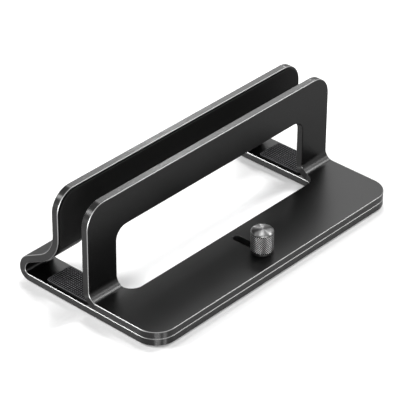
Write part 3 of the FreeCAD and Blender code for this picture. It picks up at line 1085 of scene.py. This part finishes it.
class STAND_OT_clamp_stud(BuildStep, bpy.types.Operator):
    """Roll the thumb screw's threaded stud."""

    bl_idname = "stand.clamp_stud"
    bl_label = "Clamp Stud"

    def build(self, scene):
        screw, colours = scene.stand_screw, scene.stand_colours
        lead = screw.thread_depth
        root = STUD_RADIUS - screw.thread_depth
        low, high = STUD_LOW.z, STUD_HIGH.z
        outline = [(0, low), (root - lead, low), (root, low + lead), (root, high), (0, high)]
        piece = turned_piece("threaded_stud", outline, STUD_STEPS)
        turns = (high - low - 2 * screw.thread_pitch) / screw.thread_pitch
        run_tree(piece, thread_tree(), {
            "Turns": turns, "Pitch": screw.thread_pitch, "Root radius": root,
            "Depth": screw.thread_depth, "Foot": (0, SCREW_Y, low + screw.thread_pitch),
            "Steel": rolled_steel(colours)})
        place_piece(piece, "thumb_screw", "stud", "clamp_stud")


class STAND_OT_washer(BuildStep, bpy.types.Operator):
    """Mould the washer under the knob."""

    bl_idname = "stand.washer"
    bl_label = "Washer"

    def build(self, scene):
        outer = (WASHER_HIGH.x - WASHER_LOW.x) / 2
        inner = STUD_RADIUS + scene.stand_plates.screw_play
        low, high, edge = WASHER_LOW.z, WASHER_HIGH.z, scene.stand_screw.washer_edge
        rounded = [(outer - share * edge, rise * edge) for share, rise in ((1, 0), (0.3, 0.3), (0, 1))]
        outline = [(inner, low), *((radius, low + rise) for radius, rise in rounded),
                   *((radius, high - rise) for radius, rise in rounded[::-1]), (inner, high)]
        piece = turned_piece("nylon_washer", outline, WASHER_STEPS, ring=True)
        piece.data.materials.append(moulded_nylon(scene.stand_colours))
        place_piece(piece, "thumb_screw", "washer", "knob_washer")


class STAND_OT_guide_pins(BuildStep, bpy.types.Operator):
    """Give the two guide pins their ground steel."""

    bl_idname = "stand.guide_pins"
    bl_label = "Guide Pins"

    def build(self, scene):
        for side, _ in SIDES:
            pin = bpy.data.objects[f"{side}_guide_pin"]
            pin.material_slots[0].material = ground_steel(scene.stand_colours)


# Studio

LAMP_DISTANCE = 1.2
LAMP_AIM = Vector((0, 0, 25 * MM))
# Name, direction from the aim, width and height, and power in watts
LAMPS = (
    ("lamp_high", (0.31, 0.28, 0.91), 0.25, 0.25, 5.5),
    ("lamp_right", (0.62, -0.12, 0.78), 0.25, 0.25, 7.0),
    ("lamp_right_low", (0.62, -0.54, 0.56), 0.3, 0.3, 3.0),
    ("lamp_front", (-0.22, -0.96, 0.12), 0.25, 0.1, 9.0),
    ("lamp_camera_side", (-0.68, -0.73, 0.06), 0.45, 0.06, 14.0),
    ("lamp_back_left", (-0.544, 0.563, 0.622), 0.4, 0.3, 11.0),
    ("lamp_back_right", (0.622, 0.563, 0.544), 0.8, 0.6, 6.0),
    ("lamp_behind_right", (0.74, 0.64, 0.2), 0.06, 0.06, 0.7),
    ("lamp_behind", (0.60, 0.76, 0.24), 0.06, 0.06, 1.0),
)
FLOOR_HALF = 3.0
CAMERA_RANGE = (0.05, 20.0)


def seen_or_mirrored(tree):
    """1 for rays that the camera, a mirror or glass sends out, and 0 for those that light things."""
    rays = add(tree, "ShaderNodeLightPath").node.outputs
    total = reckon(tree, "ADD", rays["Is Camera Ray"], rays["Is Glossy Ray"])
    return reckon(tree, "MINIMUM", reckon(tree, "ADD", total, rays["Is Transmission Ray"]), 1.0)


def white_world(scene):
    """White background, and a weaker even light from all round."""
    scene.world = bpy.data.worlds.new("studio_world")
    scene.world.use_nodes = True
    tree = scene.world.node_tree
    background = tree.nodes["Background"]
    background.inputs["Color"].default_value = (1.0, 1.0, 1.0, 1.0)
    level = add(tree, "ShaderNodeMix",
                {"Factor": seen_or_mirrored(tree), "A": scene.stand_studio.world, "B": 1.0},
                data_type="FLOAT")
    tree.links.new(level, background.inputs["Strength"])


def pale_floor(colours):
    """Flat paper floor, which isn't part of the object."""
    bm = bmesh.new()
    bm.faces.new([bm.verts.new((x * FLOOR_HALF, y * FLOOR_HALF, 0))
                  for x, y in ((-1, -1), (1, -1), (1, 1), (-1, 1))])
    floor = to_piece("floor", bm)
    floor.data.materials.append(pale_paper(colours))


def soft_lamps(scene):
    """Soft area lamps that stand round the stand and face it."""
    for name, towards, width, height, power in LAMPS:
        data = bpy.data.lights.new(name, "AREA")
        data.shape = "RECTANGLE"
        data.size, data.size_y, data.energy = width, height, power
        lamp = bpy.data.objects.new(name, data)
        lamp.location = LAMP_AIM + Vector(towards).normalized() * LAMP_DISTANCE
        lamp.rotation_euler = (LAMP_AIM - lamp.location).to_track_quat("-Z", "Y").to_euler()
        scene.collection.objects.link(lamp)


def photo_camera(scene):
    """Camera at its direction, height and tilt round the point that it looks at."""
    studio = scene.stand_studio
    data = bpy.data.cameras.new("camera")
    data.sensor_width, data.lens = studio.sensor, studio.lens
    data.clip_start, data.clip_end = CAMERA_RANGE
    camera = bpy.data.objects.new("camera", data)
    camera.matrix_world = (
        Matrix.Translation(studio.aim) @ Matrix.Rotation(studio.azimuth, 4, "Z")
        @ Matrix.Rotation(QUARTER - studio.elevation, 4, "X") @ Matrix.Rotation(studio.roll, 4, "Z")
        @ Matrix.Translation((0, 0, studio.distance)))
    scene.collection.objects.link(camera)
    scene.camera = camera


class STAND_OT_studio(BuildStep, bpy.types.Operator):
    """Set up the white background, the floor, the lamps and the camera."""

    bl_idname = "stand.studio"
    bl_label = "Studio"

    def build(self, scene):
        scene.view_settings.view_transform = "Standard"
        white_world(scene)
        pale_floor(scene.stand_colours)
        soft_lamps(scene)
        photo_camera(scene)


class STAND_PT_pieces(bpy.types.Panel):
    """Sizes, colours and build steps of the laptop stand."""

    bl_idname = "STAND_PT_pieces"
    bl_label = "Laptop Stand"
    bl_space_type = "VIEW_3D"
    bl_region_type = "UI"
    bl_category = "Stand"

    def draw(self, context):
        for name, group in SETTINGS.items():
            box = self.layout.box()
            box.label(text=group.__doc__)
            for field in group.__annotations__:
                label = field.replace("_", " ").capitalize()
                box.prop(getattr(context.scene, name), field, text=label)
        for step in STEPS:
            self.layout.operator(step.bl_idname)


SETTINGS = {"stand_plates": StandPlateSizes, "stand_screw": StandScrewSizes,
            "stand_pads": StandPadSizes, "stand_colours": StandColours, "stand_studio": StandStudio}
STEPS = (STAND_OT_studio, STAND_OT_base_frame, STAND_OT_front_bracket, STAND_OT_wall_linings,
         STAND_OT_rest_pads, STAND_OT_feet, STAND_OT_thumb_knob, STAND_OT_clamp_stud, STAND_OT_washer,
         STAND_OT_guide_pins)


def register():
    for item in (*SETTINGS.values(), *STEPS, STAND_PT_pieces):
        bpy.utils.register_class(item)
    for name, group in SETTINGS.items():
        setattr(bpy.types.Scene, name, PointerProperty(type=group))


def unregister():
    for name in SETTINGS:
        delattr(bpy.types.Scene, name)
    for item in (STAND_PT_pieces, *STEPS[::-1], *SETTINGS.values()):
        bpy.utils.unregister_class(item)


def main():
    register()
    for step in STEPS:
        getattr(bpy.ops.stand, step.bl_idname.removeprefix("stand."))()


if __name__ == "__main__":
    main()
